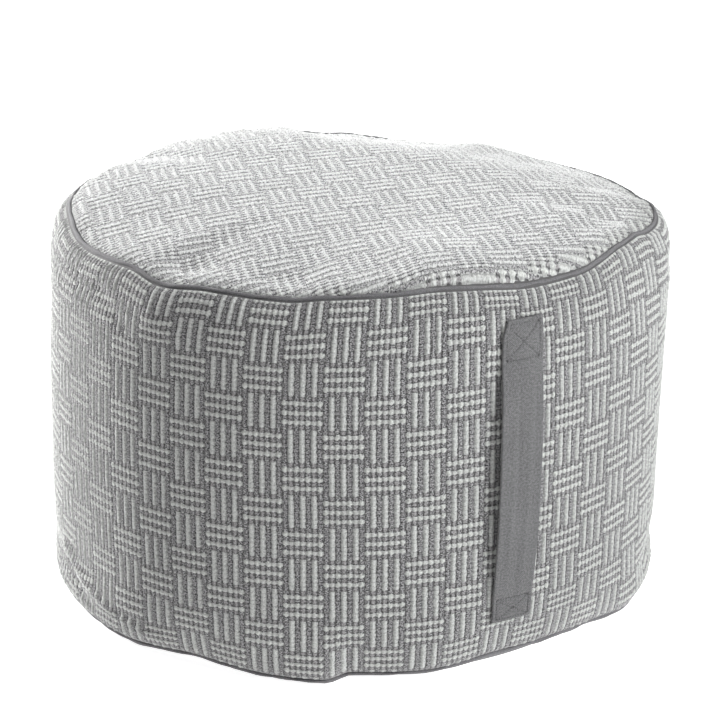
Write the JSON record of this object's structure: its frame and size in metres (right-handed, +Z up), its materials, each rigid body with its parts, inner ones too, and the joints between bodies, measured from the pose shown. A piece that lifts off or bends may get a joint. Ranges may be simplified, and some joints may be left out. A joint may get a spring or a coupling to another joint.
{
  "type": "woven floor pouf",
  "caption": "Round floor pouf in basket-weave cloth with a crowned top, piped seams and a sewn carry strap on its side.",
  "frame": {"origin": "on the floor under the middle of the flat base", "axes": "+Z up through the crowned top, -Y towards the carry strap"},
  "size_m": [0.5046, 0.5129, 0.3281],
  "materials": {
    "woven_cloth": "off-white and grey basket weave, matt, with beaded ribs",
    "plain_cloth": "plain mid grey woven cloth, matt",
    "strap_webbing": "plain grey close-woven cloth, matt, with stitched ends"
  },
  "bodies": {
    "root": {"side_panel": "woven_cloth", "top_panel": "woven_cloth", "base_panel": "plain_cloth", "top_piping": "plain_cloth", "base_piping": "plain_cloth", "handle_strap": "strap_webbing"}
  },
  "joints": []
}
